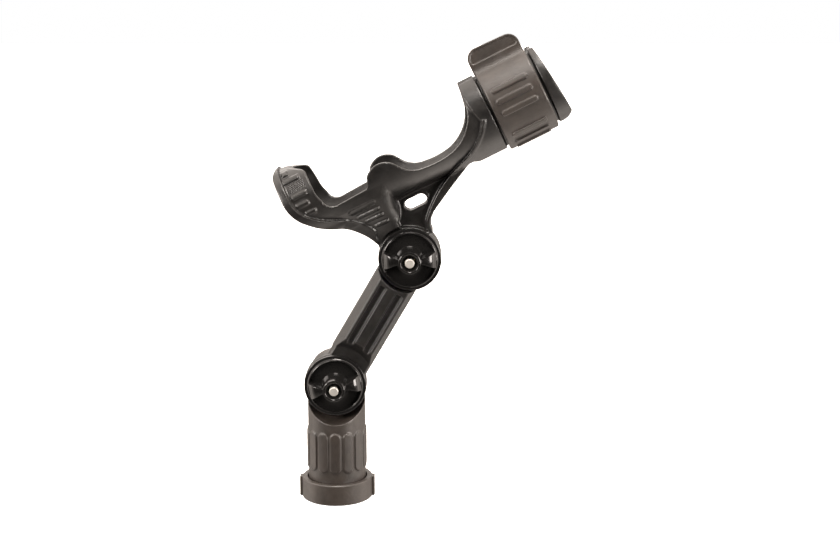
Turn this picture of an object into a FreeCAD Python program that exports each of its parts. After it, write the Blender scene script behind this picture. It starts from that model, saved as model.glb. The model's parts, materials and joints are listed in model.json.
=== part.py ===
import FreeCAD, Part
import math
import os

# Adjustable rod holder: a base tube with a captive threaded collar, a lower toothed knuckle,
# an extension arm, an upper toothed knuckle and a moulded rod cradle with a rotating lock ring.
# Millimetres. Origin: centre of the collar's bottom face. +Z up, +X towards the rod's tip.

V = FreeCAD.Vector

# --- driving dimensions -------------------------------------------------------------------
PIVOT_Z = 82.9              # lower knuckle axis above the collar's bottom face
ARM_LENGTH = 101.6          # knuckle to knuckle (4 in)
ARM_TILT = 30.3             # arm from vertical at rest, towards +X
ROD_TILT = 26.6             # rod axis above horizontal at rest

TUBE_R = 20.0               # base tube
TUBE_BOTTOM = 9.5
FLANGE_R = 22.0             # captive flange at the tube's foot
FLANGE_T = 2.7
SOCKET_R = 15.2             # blind socket for the mounting stub
SOCKET_DEPTH = 30.0
NOTCH_COUNT = 16
GRIP_COUNT = 14             # vertical grip ribs round the tube
GRIP_WIDTH = 7.4
GRIP_HEIGHT = 0.9
GRIP_LOW, GRIP_HIGH = 22.0, 50.0
SCALLOP_R, SCALLOP_FRONT_R = 23.5, 26.5

COLLAR_R = 24.65
COLLAR_H = 14.5
COLLAR_THREAD_R = 22.4      # minor radius of the thread
COLLAR_THREAD_H = 9.2
COLLAR_CHAMBER_R = 22.7     # room for the tube's captive flange
COLLAR_LIP_R = 20.8
COLLAR_TAB_REACH = 26.3

EAR_R = 21.5                # knuckle ears
BASE_EAR_R = 20.5
EAR_GAP = 0.3               # each ear's face from the knuckle's middle plane
FRONT_EAR_T = 11.0
REAR_EAR_T = 14.0
TOOTH_COUNT = 24
TOOTH_DEPTH = 0.9
TOOTH_IN_R, TOOTH_OUT_R = 9.0, 19.0
EAR_CLEAR_R = 22.5          # swept room round an ear

BEAM_HALF_W, BEAM_HALF_T = 15.0, 17.0
BEAM_CHAMFER_W, BEAM_CHAMFER_T = 4.3, 10.0
GROOVE_W, GROOVE_DEPTH, RIDGE_W = 5.0, 2.6, 7.5
BEAM_REAR_CLEAR_R = 24.5
BEAM_SCALLOP_R, BEAM_SCALLOP_FRONT_R = 27.5, 34.0

BOLT_R = 3.1                # 1/4 in bolt
BOLT_TIP_Y = -29.4
PIVOT_BORE_R = 3.18
BOLT_HOLE_R = 3.25
HEX_AF, HEX_H = 11.1, 4.2
HEX_POCKET_AF, HEX_POCKET_DEPTH = 11.4, 4.4

KNOB_BACK_Y = -12.0
KNOB_R = 21.7
KNOB_RIM_R = 18.7
KNOB_FLOOR_R = 17.7
HUB_BACK_R, HUB_FRONT_R = 9.4, 7.7
HUB_FRONT = 16.5            # heights above the knob's back face
RIM_FRONT = 4.6
KNOB_FLOOR = 2.6
WING_HUB_HALF, WING_RIM_HALF = 1.1, 6.0
LOWER_KNOB_TURN, UPPER_KNOB_TURN = 10.0, 1.5
KNOB_BORE_R = 3.4
INSERT_AF, INSERT_START, INSERT_END = 10.0, 0.4, 9.0
WASHER_R, WASHER_HOLE_R, WASHER_T = 9.5, 3.4, 0.8

# cradle frame: origin on the upper knuckle axis, s along the rod, t square to it (up)
ROD_T = 65.4                # rod axis above the knuckle, along t
RING_S = 111.2              # lock ring's middle along s
BORE_R = 24.0               # rod passage
SHELL_R = 27.0              # trough and barrel outside
SLOT_HALF_ANGLE = 30.0
RIM_R = 29.6                # flared rim of the rear hoop
RIM_FLARE_R = 27.0          # its mouth inside
FLANGE_OUT_R = 28.6
BEAD_R = 29.3
BARREL_END = 140.4
RING_HALF = 17.7
RING_IN_R, RING_OUT_R = 27.4, 30.7
RING_RIB_H, RING_RIB_W, RING_RIB_L = 1.3, 3.4, 25.0
RING_RIB_GROUPS, RING_RIB_PITCH = (-7.0, 55.7, 124.3, 187.0), 15.0
TAB_LOW, TAB_HIGH = -18.4, 17.4     # thumb tab's ends along s from the ring's middle
TAB_TOP, TAB_CORNER = 41.2, 7.5
TAB_BACK_Y, TAB_FRONT_Y = -12.4, -16.0
TAB_LIP, TAB_SINK = 1.3, 0.7        # raised border round the tab's front
WEB_HALF_T = 5.5
SPINE_HALF_T = 10.5
LANYARD_S, LANYARD_T = 20.6, 32.1
LANYARD_L, LANYARD_W = 16.0, 7.7
# outline of the cradle's rear edge, as (s, t): leg foot, leg curve, hoop curve
LEG_FOOT, LEG_MIDDLE, LEG_TURN = (-15.0, 18.0), (-23.6, 32.2), (-34.5, 40.4)
HOOP_TURN, HOOP_MIDDLE, HOOP_BACK = (-48.8, 52.2), (-54.9, 61.2), (-57.2, 72.0)
# leg: how far it has swollen from shell to full width at each s, and its full half-width at each t
LEG_STATIONS = [(-37.0, 0.0), (-30.0, 0.28), (-22.0, 0.55), (-13.0, 0.78), (-6.0, 0.93), (-2.0, 0.98),
                (1.0, 1.0), (3.0, 0.97), (5.0, 0.88), (6.6, 0.74), (8.2, 0.48), (9.6, 0.0)]
LEG_WIDTHS = [(8.0, 11.0), (16.0, 11.4), (24.0, 13.2), (30.0, 15.6), (36.0, 18.6), (42.0, 21.3),
              (48.0, 23.4), (54.0, 24.8), (59.5, 25.4)]
LEG_PANEL_S, LEG_PANEL_T = -12.0, 46.4   # sunken panel on each side of the leg
LEG_PANEL_L, LEG_PANEL_W, LEG_PANEL_SINK = 20.0, 3.6, 0.9
STOP_HALF_W, STOP_R, STOP_GROOVE_R = 2.2, 28.5, 28.8
RING_TRAVEL = 60.0


# --- helpers ------------------------------------------------------------------------------
def cyl_y(radius, y_low, y_high, x=0.0, z=0.0):
    return Part.makeCylinder(radius, y_high - y_low, V(x, y_low, z), V(0, 1, 0))


def cone_y(radius_low, radius_high, y_low, y_high, x=0.0, z=0.0):
    return Part.makeCone(radius_low, radius_high, y_high - y_low, V(x, y_low, z), V(0, 1, 0))


def cyl_z(radius, z_low, z_high):
    return Part.makeCylinder(radius, z_high - z_low, V(0, 0, z_low))


def cyl_s(radius, s_low, s_high, t=ROD_T):
    return Part.makeCylinder(radius, s_high - s_low, V(s_low, 0, t), V(1, 0, 0))


def box(x0, x1, y0, y1, z0, z1):
    return Part.makeBox(x1 - x0, y1 - y0, z1 - z0, V(x0, y0, z0))


def joined(first, others):
    return first.multiFuse(others).removeSplitter()


def outline_prism(start, steps, half_depth):
    """Extrude an outline of the XZ plane along Y; a step is a point or (middle, end) of an arc."""
    edges = []
    here = V(start[0], 0, start[1])
    for step in steps:
        if isinstance(step[0], tuple):
            middle = V(step[0][0], 0, step[0][1])
            end = V(step[1][0], 0, step[1][1])
            edges.append(Part.Arc(here, middle, end).toShape())
        else:
            end = V(step[0], 0, step[1])
            edges.append(Part.makeLine(here, end))
        here = end
    first = V(start[0], 0, start[1])
    if (here - first).Length > 1e-6:
        edges.append(Part.makeLine(here, first))
    face = Part.Face(Part.Wire(edges))
    face.translate(V(0, -half_depth, 0))
    return face.extrude(V(0, 2 * half_depth, 0))


def hex_y(across_flats, y_low, y_high):
    reach = across_flats / math.sqrt(3)
    corners = [V(reach * math.cos(math.radians(60 * k)), y_low,
                 reach * math.sin(math.radians(60 * k))) for k in range(7)]
    return Part.Face(Part.makePolygon(corners)).extrude(V(0, y_high - y_low, 0))


def stadium_y(length, width, y_low, y_high, x, z):
    """A slot shape, long along X, extruded along Y."""
    reach = (length - width) / 2
    shape = box(x - reach, x + reach, y_low, y_high, z - width / 2, z + width / 2)
    ends = [cyl_y(width / 2, y_low, y_high, x + side * reach, z) for side in (-1, 1)]
    return joined(shape, ends)


def radial_teeth(face_y, outward):
    """Radial V teeth that stand on a plane at face_y and point along outward (+1 or -1)."""
    teeth = []
    half_in = math.pi * TOOTH_IN_R / TOOTH_COUNT * 0.8
    half_out = math.pi * TOOTH_OUT_R / TOOTH_COUNT * 0.8
    for k in range(TOOTH_COUNT):
        wires = []
        for radius, half in ((TOOTH_IN_R, half_in), (TOOTH_OUT_R, half_out)):
            root_y = face_y - outward * 0.2
            tip = V(radius, face_y + outward * TOOTH_DEPTH, 0)
            corners = [V(radius, root_y, -half), tip, V(radius, root_y, half), V(radius, root_y, -half)]
            wires.append(Part.makePolygon(corners))
        tooth = Part.makeLoft(wires, True, True)
        tooth.rotate(V(0, 0, 0), V(0, 1, 0), 360.0 * k / TOOTH_COUNT)
        teeth.append(tooth)
    return teeth


def ear(radius, inner_y, outer_y):
    """A knuckle ear about the Y axis with a recessed ring of teeth on its inner face."""
    low, high = sorted((inner_y, outer_y))
    disc = cyl_y(radius, low, high)
    outward = 1 if inner_y > outer_y else -1
    floor_y = inner_y - outward * TOOTH_DEPTH
    ring_low, ring_high = sorted((floor_y, inner_y))
    recess = cyl_y(TOOTH_OUT_R + 0.4, ring_low, ring_high)
    recess = recess.cut(cyl_y(TOOTH_IN_R - 0.4, ring_low, ring_high))
    return joined(disc.cut(recess), radial_teeth(floor_y, outward))


def rear_fastening(shape):
    """Bolt hole and captive hex pocket in a rear ear on the Y axis."""
    shape = shape.cut(cyl_y(BOLT_HOLE_R, -REAR_EAR_T, REAR_EAR_T + 10))
    pocket = hex_y(HEX_POCKET_AF, REAR_EAR_T - HEX_POCKET_DEPTH, REAR_EAR_T + 10)
    return shape.cut(pocket)


def place_at_lower(shape):
    shape.translate(V(0, 0, PIVOT_Z))
    return shape


def place_arm(shape):
    """Arm frame (X across, Z along the arm) to the object's frame."""
    shape.rotate(V(0, 0, 0), V(0, 1, 0), ARM_TILT)
    return place_at_lower(shape)


def place_cradle(shape):
    """Cradle frame (s, t about the upper knuckle) to the object's frame."""
    shape.rotate(V(0, 0, 0), V(0, 1, 0), -ROD_TILT)
    tilt = math.radians(ARM_TILT)
    shape.translate(V(ARM_LENGTH * math.sin(tilt), 0, ARM_LENGTH * math.cos(tilt)))
    return place_at_lower(shape)


# --- base ---------------------------------------------------------------------------------
def grip_rib(angle):
    half = GRIP_WIDTH / 2
    reach = TUBE_R + GRIP_HEIGHT
    rib = box(-half, half, -reach - 2, -TUBE_R + 2, GRIP_LOW + half, GRIP_HIGH - half)
    ends = [cyl_y(half, -reach - 2, -TUBE_R + 2, 0, z) for z in (GRIP_LOW + half, GRIP_HIGH - half)]
    rib = joined(rib, ends).common(cyl_z(reach, GRIP_LOW - 1, GRIP_HIGH + 1))
    rib.rotate(V(0, 0, 0), V(0, 0, 1), angle)
    return rib


def base_tube():
    column = cyl_z(TUBE_R, TUBE_BOTTOM, PIVOT_Z + BASE_EAR_R)
    keep = joined(box(-30, 30, -30, 30, 0, PIVOT_Z), [cyl_y(BASE_EAR_R, -30, 30, 0, PIVOT_Z)])
    column = column.common(keep)
    column = column.cut(cone_y(SCALLOP_FRONT_R, SCALLOP_R, -TUBE_R, EAR_GAP, 0, PIVOT_Z))
    column = column.cut(cone_y(EAR_R, EAR_R + 2.5, REAR_EAR_T, TUBE_R + 1, 0, PIVOT_Z))
    rear_ear = place_at_lower(ear(BASE_EAR_R, EAR_GAP, FRONT_EAR_T))
    column = column.cut(cyl_y(TOOTH_OUT_R + 0.4, 0, EAR_GAP + TOOTH_DEPTH, 0, PIVOT_Z))
    foot = cyl_z(FLANGE_R, TUBE_BOTTOM, TUBE_BOTTOM + FLANGE_T)
    ribs = [grip_rib(360.0 * k / GRIP_COUNT) for k in range(GRIP_COUNT)]
    body = joined(column, [rear_ear, foot] + ribs)
    body = body.cut(cyl_z(SOCKET_R, TUBE_BOTTOM - 1, TUBE_BOTTOM + SOCKET_DEPTH))
    for k in range(NOTCH_COUNT):
        notch = box(SOCKET_R - 1, FLANGE_R + 1, -1.5, 1.5, TUBE_BOTTOM - 1, TUBE_BOTTOM + 1.5)
        notch.rotate(V(0, 0, 0), V(0, 0, 1), 360.0 * k / NOTCH_COUNT)
        body = body.cut(notch)
    body.translate(V(0, 0, -PIVOT_Z))
    return place_at_lower(rear_fastening(body))


def base_collar():
    ring = cyl_z(COLLAR_R, 0, COLLAR_H)
    ring = ring.makeChamfer(0.8, [e for e in ring.Edges if len(e.Vertexes) == 1])
    tab = box(-COLLAR_TAB_REACH, COLLAR_TAB_REACH, -3.2, 3.2, 0, COLLAR_H)
    tab = tab.common(cyl_z(COLLAR_TAB_REACH, 0, COLLAR_H))
    ring = joined(ring, [tab])
    ring = ring.cut(cyl_z(COLLAR_THREAD_R, -1, COLLAR_THREAD_H))
    ring = ring.cut(cyl_z(COLLAR_CHAMBER_R, COLLAR_THREAD_H, TUBE_BOTTOM + FLANGE_T + 0.3))
    return ring.cut(cyl_z(COLLAR_LIP_R, -1, COLLAR_H + 1))


# --- arm ----------------------------------------------------------------------------------
def beam_section():
    """Beam cross-section in the XY plane: chamfered sides, two grooves front and back."""
    inner = BEAM_HALF_W - BEAM_CHAMFER_W
    ridge = RIDGE_W / 2
    quarter = [(ridge, BEAM_HALF_T), (ridge + 0.4, BEAM_HALF_T - GROOVE_DEPTH),
               (ridge + GROOVE_W - 0.4, BEAM_HALF_T - GROOVE_DEPTH), (ridge + GROOVE_W, BEAM_HALF_T),
               (inner, BEAM_HALF_T), (BEAM_HALF_W, BEAM_HALF_T - BEAM_CHAMFER_T)]
    right_back = quarter
    right_front = [(x, -y) for x, y in reversed(quarter)]
    left_front = [(-x, -y) for x, y in quarter]
    left_back = [(-x, y) for x, y in reversed(quarter)]
    return right_back + right_front + left_front + left_back


def extension_arm():
    points = beam_section()
    corners = [V(x, y, 0) for x, y in points + points[:1]]
    beam = Part.Face(Part.makePolygon(corners)).extrude(V(0, 0, ARM_LENGTH))
    filler = box(-10, 10, -BEAM_HALF_T + 0.01, BEAM_HALF_T - 0.01, ARM_LENGTH - 24.3, ARM_LENGTH)
    beam = beam.fuse(filler)
    beam = beam.cut(cone_y(BEAM_SCALLOP_FRONT_R, BEAM_SCALLOP_R, -BEAM_HALF_T, -FRONT_EAR_T))
    beam = beam.cut(cyl_y(BEAM_REAR_CLEAR_R, -EAR_GAP, BEAM_HALF_T + 1))
    beam = beam.cut(cyl_y(EAR_CLEAR_R, -BEAM_HALF_T - 1, EAR_GAP, 0, ARM_LENGTH))
    beam = beam.cut(cone_y(EAR_R, EAR_R + 1.5, REAR_EAR_T, BEAM_HALF_T, 0, ARM_LENGTH))
    beam = beam.cut(cyl_y(TOOTH_OUT_R + 0.4, -EAR_GAP - TOOTH_DEPTH, 0))
    beam = beam.cut(cyl_y(TOOTH_OUT_R + 0.4, 0, EAR_GAP + TOOTH_DEPTH, 0, ARM_LENGTH))
    lower_ear = ear(EAR_R, -EAR_GAP, -FRONT_EAR_T)
    upper_ear = ear(EAR_R, EAR_GAP, REAR_EAR_T)
    upper_ear.translate(V(0, 0, ARM_LENGTH))
    arm = joined(beam, [lower_ear, upper_ear])
    arm = arm.cut(cyl_y(PIVOT_BORE_R, -BEAM_HALF_T, 5))
    arm.translate(V(0, 0, -ARM_LENGTH))
    arm = rear_fastening(arm)
    arm.translate(V(0, 0, ARM_LENGTH))
    return place_arm(arm)


# --- knuckle hardware ---------------------------------------------------------------------
def bolt():
    shank = cyl_y(BOLT_R, BOLT_TIP_Y, REAR_EAR_T - HEX_H)
    shank = shank.makeChamfer(0.5, [shank.Edges[k] for k in range(len(shank.Edges))
                                    if abs(shank.Edges[k].CenterOfMass.y - BOLT_TIP_Y) < 0.01])
    head = hex_y(HEX_AF, REAR_EAR_T - HEX_H, REAR_EAR_T - 0.1)
    head = head.common(cone_y(HEX_AF / 2 + 2.5, HEX_AF / 2, REAR_EAR_T - HEX_H, REAR_EAR_T - 0.05))
    return joined(shank, [head])


def washer():
    front = -FRONT_EAR_T - 0.1
    ring = cyl_y(WASHER_R, front - WASHER_T, front)
    return ring.cut(cyl_y(WASHER_HOLE_R, front - WASHER_T, front))


def knob_wings():
    """Two bow-tie wings, narrow at the hub and wide at the rim, sloping down to the rim."""
    outer = KNOB_RIM_R - 0.6
    half = [(4.0, -WING_HUB_HALF), (7.5, -WING_HUB_HALF), (outer, -WING_RIM_HALF),
            (outer, WING_RIM_HALF), (7.5, WING_HUB_HALF), (4.0, WING_HUB_HALF)]
    slope = Part.makeCone(6.0, KNOB_RIM_R, 7.5, V(0, KNOB_BACK_Y - 15.5, 0), V(0, 1, 0))
    slope = slope.fuse(cyl_y(KNOB_RIM_R, KNOB_BACK_Y - 8.0, KNOB_BACK_Y - KNOB_FLOOR + 0.5))
    wings = []
    for side in (-1, 1):
        points = [V(side * x, KNOB_BACK_Y - KNOB_FLOOR + 0.5, z) for x, z in half + half[:1]]
        wing = Part.Face(Part.makePolygon(points)).extrude(V(0, -16, 0))
        wings.append(wing.common(slope))
    return wings


def knob():
    back = KNOB_BACK_Y
    skirt = cone_y(KNOB_RIM_R, KNOB_R, back - RIM_FRONT, back - 1.2)
    skirt = skirt.fuse(cyl_y(KNOB_R, back - 1.2, back))
    skirt = skirt.cut(cyl_y(KNOB_FLOOR_R, back - RIM_FRONT, back - KNOB_FLOOR))
    hub = cone_y(HUB_FRONT_R, HUB_BACK_R, back - HUB_FRONT, back - KNOB_FLOOR + 0.5)
    body = joined(skirt, [hub] + knob_wings())
    dish = cone_y(5.9, 4.2, back - HUB_FRONT, back - HUB_FRONT + 1.6)
    body = body.cut(dish).cut(cyl_y(KNOB_BORE_R, back - HUB_FRONT, back - INSERT_END))
    return body.cut(hex_y(INSERT_AF, back - INSERT_END, back + 1))


def knob_insert():
    body = hex_y(INSERT_AF, KNOB_BACK_Y - INSERT_END, KNOB_BACK_Y - INSERT_START)
    return body.cut(cyl_y(PIVOT_BORE_R, KNOB_BACK_Y - INSERT_END - 1, KNOB_BACK_Y))


def turned(shape, angle):
    shape.rotate(V(0, 0, 0), V(0, 1, 0), -angle)
    return shape


def place_at_upper(shape):
    tilt = math.radians(ARM_TILT)
    shape.translate(V(ARM_LENGTH * math.sin(tilt), 0, ARM_LENGTH * math.cos(tilt)))
    return place_at_lower(shape)


# --- cradle -------------------------------------------------------------------------------
def cradle_profile(half_depth):
    """Side outline of the whole shell: hoop, rear trough, hump, saddle sweep and barrel."""
    steps = [
        ((-31.0, 57.9), (-25.4, 55.5)),
        (-5.2, 56.4),
        ((-2.4, 57.4), (-1.0, 60.2)),
        (0.4, 63.9),
        ((9.0, 68.2), (19.8, 64.2)),
        (24.0, 58.4),
        ((29.4, 54.0), (37.0, 52.0)),
        ((47.0, 51.4), (56.5, 52.6)),
        ((70.6, 60.6), (78.3, 73.6)),
        (79.6, 82.0),
        (80.8, 92.0),
        (80.8, 100.0),
        (134.6, 100.0),
        (134.6, 90.0),
        (BARREL_END, 42.4),
        ((137.4, 38.8), (131.0, 37.6)),
        (131.0, 30.0),
        (80.0, 30.0),
        (LEG_TURN[0], 34.0),
        LEG_TURN,
        ((-42.4, 45.8), HOOP_TURN),
        (HOOP_MIDDLE, HOOP_BACK),
        (HOOP_BACK[0], 87.0),
        ((-56.2, 91.2), (-53.4, 94.0)),
        (-51.0, 94.0),
        (-37.2, 86.7),
        ((-35.7, 85.4), (-35.0, 83.0)),
        (-34.8, 72.0),
        ((-34.4, 67.0), (-33.0, 62.8)),
    ]
    return outline_prism((-33.0, 62.8), steps, half_depth)


def rim_band(half_depth):
    """Band that follows the hoop's rear edge and runs down the leg."""
    steps = [
        ((-50.6, 64.8), (-45.2, 56.2)),
        ((-38.8, 50.6), (-30.2, 45.8)),
        ((-19.6, 39.0), (-11.8, 28.0)),
        LEG_FOOT,
        (LEG_MIDDLE, LEG_TURN),
        ((-42.4, 45.8), HOOP_TURN),
        (HOOP_MIDDLE, HOOP_BACK),
        (HOOP_BACK[0], 87.0),
        ((-56.2, 91.2), (-53.4, 94.0)),
        (-51.9, 94.0),
    ]
    return outline_prism((-51.9, 74.0), steps, half_depth)


def leg(extra=0.0):
    """The leg under the trough: its sides swell out from the shell to a soft ridge and fall back."""
    stations = []
    for s, swell in LEG_STATIONS:
        corners = []
        for t, wide in LEG_WIDTHS:
            shell = math.sqrt(max(SHELL_R ** 2 - (ROD_T - t) ** 2, 0.0)) - 0.15
            narrow = max(shell, WEB_HALF_T - 0.2)
            corners.append((narrow + (wide - narrow) * swell + extra, t))
        ring = [V(s, -w, t) for w, t in corners] + [V(s, w, t) for w, t in reversed(corners)]
        stations.append(Part.makePolygon(ring + ring[:1]))
    swollen = Part.makeLoft(stations, True, True)
    side = outline_prism(
        LEG_FOOT, [(LEG_MIDDLE, LEG_TURN), (-40.0, 54.9), (10.0, 54.9), (9.6, 40.0),
                   ((8.6, 32.4), (3.9, 25.6)), (3.9, 8.0), (-16.0, 8.0)], 40)
    return swollen.common(side)


def leg_ribs():
    wide = leg(1.5)
    slabs = [box(s0, s1, -40, 40, t - 0.8, t + 0.8)
             for s0, s1, t in ((-18.3, -2.0, 41.2), (-14.8, -1.6, 36.3), (-10.5, -0.6, 30.6))]
    return [wide.common(slab) for slab in slabs]


def hoop_ribs():
    wide = cyl_s(SHELL_R + 1.1, -52, -38)
    places = ((-50.6, -46.5, 89.0), (-50.8, -40.1, 84.4), (-50.4, -39.4, 73.0),
              (-49.4, -41.0, 66.4), (-46.4, -39.2, 59.4))
    return [wide.common(box(s0, s1, -40, 40, t - 1.3, t + 1.3)) for s0, s1, t in places]


def web():
    plate = outline_prism(
        (0.0, 12.0),
        [(0.0, 45.0), (62.0, 45.0), (62.0, 39.0), (46.6, 30.9), (30.4, 22.3), (25.0, 17.5), (22.4, 12.0)],
        WEB_HALF_T)
    lip = stadium_y(LANYARD_L + 3, LANYARD_W + 3, -WEB_HALF_T - 0.6, WEB_HALF_T + 0.6,
                    LANYARD_S, LANYARD_T)
    return joined(plate, [lip])


def spine_flange():
    """Cross flange along the web's front edge; it climbs the trough's side to the rear flange."""
    outer = [((24.6, 17.6), (30.4, 22.3)), (46.6, 30.9), (66.0, 40.4)]
    inner = [(90.0, 70.0), (84.2, 70.0), (84.4, 63.0), ((74.0, 50.6), (58.9, 42.7)), (48.5, 38.2),
             ((36.0, 31.0), (21.4, 18.0)), (18.8, 9.0)]
    band = outline_prism((22.4, 9.0), outer + [(72.0, 37.0), (90.0, 37.0)] + inner, 40)
    bead = outline_prism(
        (48.5, 38.2),
        [(51.0, 36.9), (60.0, 41.0), ((75.9, 49.6), (86.6, 63.0)), (84.4, 63.6),
         ((74.0, 50.8), (58.9, 42.9))], 40)
    low = band.common(box(10, 70, -SPINE_HALF_T, SPINE_HALF_T, 5, 45))
    high = band.common(cyl_s(FLANGE_OUT_R, 44, 90))
    return [low, high, bead.common(cyl_s(BEAD_R, 44, 90))]


def flanges():
    """Rear and front flanges that hold the lock ring endways."""
    rear = cyl_s(FLANGE_OUT_R, 78.0, RING_S - RING_HALF - 1.8)
    rear = rear.common(outline_prism(
        (70.8, 37.0), [(72.7, 44.0), ((81.5, 53.0), (84.6, 62.5)), ((80.4, 76.0), (80.8, 92.0)),
                       (100.0, 92.0), (100.0, 30.0)], 40))
    front = cyl_s(FLANGE_OUT_R + 0.4, RING_S + RING_HALF + 1.8, BARREL_END + 2)
    front = front.common(cradle_profile(40))
    return [rear, front]


def rod_cradle():
    shell = cyl_s(SHELL_R, -70, BARREL_END + 2).common(cradle_profile(40))
    rim = cyl_s(RIM_R, -70, -5).common(rim_band(40))
    rim_leg = leg(1.3).common(rim_band(40))
    parts = [rim, rim_leg, leg(), web()] + spine_flange() + flanges() + leg_ribs() + hoop_ribs()
    stop = cyl_s(STOP_R, RING_S - STOP_HALF_W, RING_S + STOP_HALF_W)
    parts.append(stop.common(box(0, 200, -2.5, 2.5, 0, ROD_T)))
    body = joined(shell, parts)
    body = body.cut(cyl_s(BORE_R, -80, 200))
    body = body.cut(Part.makeCone(RIM_FLARE_R, BORE_R - 0.2, 12.0, V(-59.0, 0, ROD_T), V(1, 0, 0)))
    body = body.cut(outline_slot())
    body = body.cut(cyl_y(EAR_CLEAR_R, -EAR_GAP, 60))
    body = body.cut(cyl_y(EAR_CLEAR_R + 0.3, -60, -FRONT_EAR_T))
    body = body.cut(cyl_y(EAR_R - 0.5, -FRONT_EAR_T - 1, 0))
    body = joined(body, [ear(EAR_R, -EAR_GAP, -FRONT_EAR_T)])
    body = body.cut(cyl_y(PIVOT_BORE_R, -30, 30))
    body = body.cut(stadium_y(LANYARD_L, LANYARD_W, -30, 30, LANYARD_S, LANYARD_T))
    panel = stadium_y(LEG_PANEL_L, LEG_PANEL_W, -32, 32, LEG_PANEL_S, LEG_PANEL_T)
    return place_cradle(body.cut(panel.cut(leg(-LEG_PANEL_SINK))))


def outline_slot():
    """Wedge that opens the barrel's top, as wide as the slot's angle."""
    reach = 60.0
    half = math.radians(SLOT_HALF_ANGLE)
    corners = [V(60, 0, ROD_T), V(60, -reach * math.sin(half), ROD_T + reach * math.cos(half)),
               V(60, reach * math.sin(half), ROD_T + reach * math.cos(half)), V(60, 0, ROD_T)]
    wedge = Part.Face(Part.makePolygon(corners)).extrude(V(120, 0, 0))
    return wedge


# --- lock ring ----------------------------------------------------------------------------
def about_rod(shape, angle):
    """Turn a shape about the rod axis; positive goes from the near side downwards."""
    shape.rotate(V(0, 0, ROD_T), V(1, 0, 0), angle)
    return shape


def ring_rib(angle):
    half = RING_RIB_W / 2
    reach = (RING_RIB_L - RING_RIB_W) / 2
    middle = RING_S - 0.8
    rib = box(middle - reach, middle + reach, -RING_OUT_R - RING_RIB_H, -RING_OUT_R + 1,
              ROD_T - half, ROD_T + half)
    ends = [cyl_y(half, -RING_OUT_R - RING_RIB_H, -RING_OUT_R + 1, middle + side * reach, ROD_T)
            for side in (-1, 1)]
    return about_rod(joined(rib, ends), angle)


def tab_plate(inset, root_t, half_y):
    """The tab's outline, drawn in by inset, as a plate about the XZ plane."""
    low, high = RING_S + TAB_LOW + inset, RING_S + TAB_HIGH - inset
    top_t, corner = ROD_T + TAB_TOP - inset, TAB_CORNER - inset
    bend = corner * (1 - math.sqrt(0.5))
    return outline_prism(
        (low + 1.2, root_t),
        [(low, root_t + 1.2), (low, top_t - corner), ((low + bend, top_t - bend), (low + corner, top_t)),
         (high - corner, top_t - 0.8),
         ((high - bend, top_t - 0.8 - bend), (high, top_t - 0.8 - corner)),
         (high, root_t + 1.2), (high - 1.2, root_t)], half_y)


def thumb_tab():
    """Upright pad at the ring's near end, its front sunk inside a raised lip for the thumb."""
    plate = tab_plate(0.0, ROD_T + 23.5, (TAB_BACK_Y - TAB_FRONT_Y) / 2)
    plate.translate(V(0, (TAB_BACK_Y + TAB_FRONT_Y) / 2, 0))
    sunk = tab_plate(TAB_LIP, ROD_T + 31.6, TAB_SINK)
    sunk.translate(V(0, TAB_FRONT_Y, 0))
    return plate.cut(sunk)


def tab_root():
    """Hollow fillet between the ring and the front of the tab."""
    low = V(0, TAB_FRONT_Y, ROD_T + 30.9)
    middle = V(0, TAB_FRONT_Y - 0.9, ROD_T + 26.7)
    foot = V(0, -19.75, ROD_T + 23.5)
    inner_y = TAB_BACK_Y - 2.0
    inside = [V(0, -17.5, ROD_T + 22.0), V(0, inner_y, ROD_T + 26.0), V(0, inner_y, ROD_T + 30.9)]
    edges = [Part.Arc(low, middle, foot).toShape()]
    corners = [foot] + inside + [low]
    edges += [Part.makeLine(first, second) for first, second in zip(corners, corners[1:])]
    face = Part.Face(Part.Wire(edges))
    face.translate(V(RING_S + TAB_LOW + 1.0, 0, 0))
    return face.extrude(V(TAB_HIGH - TAB_LOW - 2.0, 0, 0))


def lock_ring():
    ring = cyl_s(RING_OUT_R, RING_S - RING_HALF, RING_S + RING_HALF)
    ring = ring.makeFillet(1.0, [e for e in ring.Edges if len(e.Vertexes) == 1])
    ring = ring.cut(outline_slot())
    angles = [group + k * RING_RIB_PITCH for group in RING_RIB_GROUPS for k in (-1, 0, 1)]
    ring = joined(ring, [ring_rib(angle) for angle in angles] + [thumb_tab(), tab_root()])
    ring = ring.cut(cyl_s(RING_IN_R, 0, 200))
    groove = cyl_s(STOP_GROOVE_R, RING_S - STOP_HALF_W - 0.3, RING_S + STOP_HALF_W + 0.3)
    return place_cradle(ring.cut(stop_groove(groove)))


def stop_groove(groove):
    """Keep the part of the groove that the stop passes over the ring's travel."""
    lug_half = math.degrees(math.asin(2.5 / STOP_R)) + 1.0
    start, end = -lug_half, RING_TRAVEL + lug_half
    face = Part.makePolygon([V(60, 0, ROD_T)] + [
        V(60, 60 * math.sin(math.radians(a)), ROD_T - 60 * math.cos(math.radians(a)))
        for a in (start, start + (end - start) / 2, end)] + [V(60, 0, ROD_T)])
    return groove.common(Part.Face(face).extrude(V(120, 0, 0)))


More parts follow.
